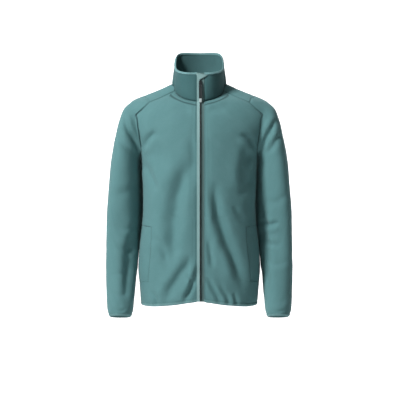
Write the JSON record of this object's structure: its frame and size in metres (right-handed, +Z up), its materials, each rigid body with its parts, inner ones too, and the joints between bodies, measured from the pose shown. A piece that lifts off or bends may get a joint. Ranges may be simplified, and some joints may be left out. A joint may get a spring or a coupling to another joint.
{
  "type": "zip fleece jacket",
  "caption": "Hollow zip fleece jacket with a stand collar, forward shoulder seams, bound hem and cuffs, side pockets and a hanging zip puller.",
  "frame": {"origin": "where the middle plane meets the ridge line of the shoulders, level with their high points at the base of the neck", "axes": "+Z up the jacket, -Y towards its front, +X towards the wearer's left; the garment hangs below the origin and its collar stands above it"},
  "size_m": [0.5828, 0.2598, 0.8419],
  "materials": {
    "fleece": "fine smooth knit with a soft sheen",
    "binding": "folded stretch binding, slightly glossier than the fleece",
    "zip_tape": "flat woven tape",
    "zip_pull": "satin dark plastic",
    "puller_tip": "pale satin plastic"
  },
  "bodies": {
    "jacket": {"front_right": "fleece", "front_left": "fleece", "back": "fleece", "sleeve_right": "fleece", "sleeve_left": "fleece", "collar": "fleece", "pocket_facing_right": "fleece", "pocket_facing_left": "fleece", "zip_garage": "fleece", "hem_binding": "binding", "cuff_binding_right": "binding", "cuff_binding_left": "binding", "collar_binding": "binding", "zip_tape_right": "zip_tape", "zip_tape_left": "zip_tape", "zip_slider": "zip_pull"},
    "zip_pull": {"zip_puller": "zip_pull", "zip_puller_tip": "puller_tip"}
  },
  "joints": [
    {"name": "puller_hinge", "type": "hinge", "parent": "jacket", "child": "zip_pull", "pos_m": [0.004, -0.09625, -0.00083], "axis": [-1, 0, 0], "range_deg": [0, 110]}
  ]
}
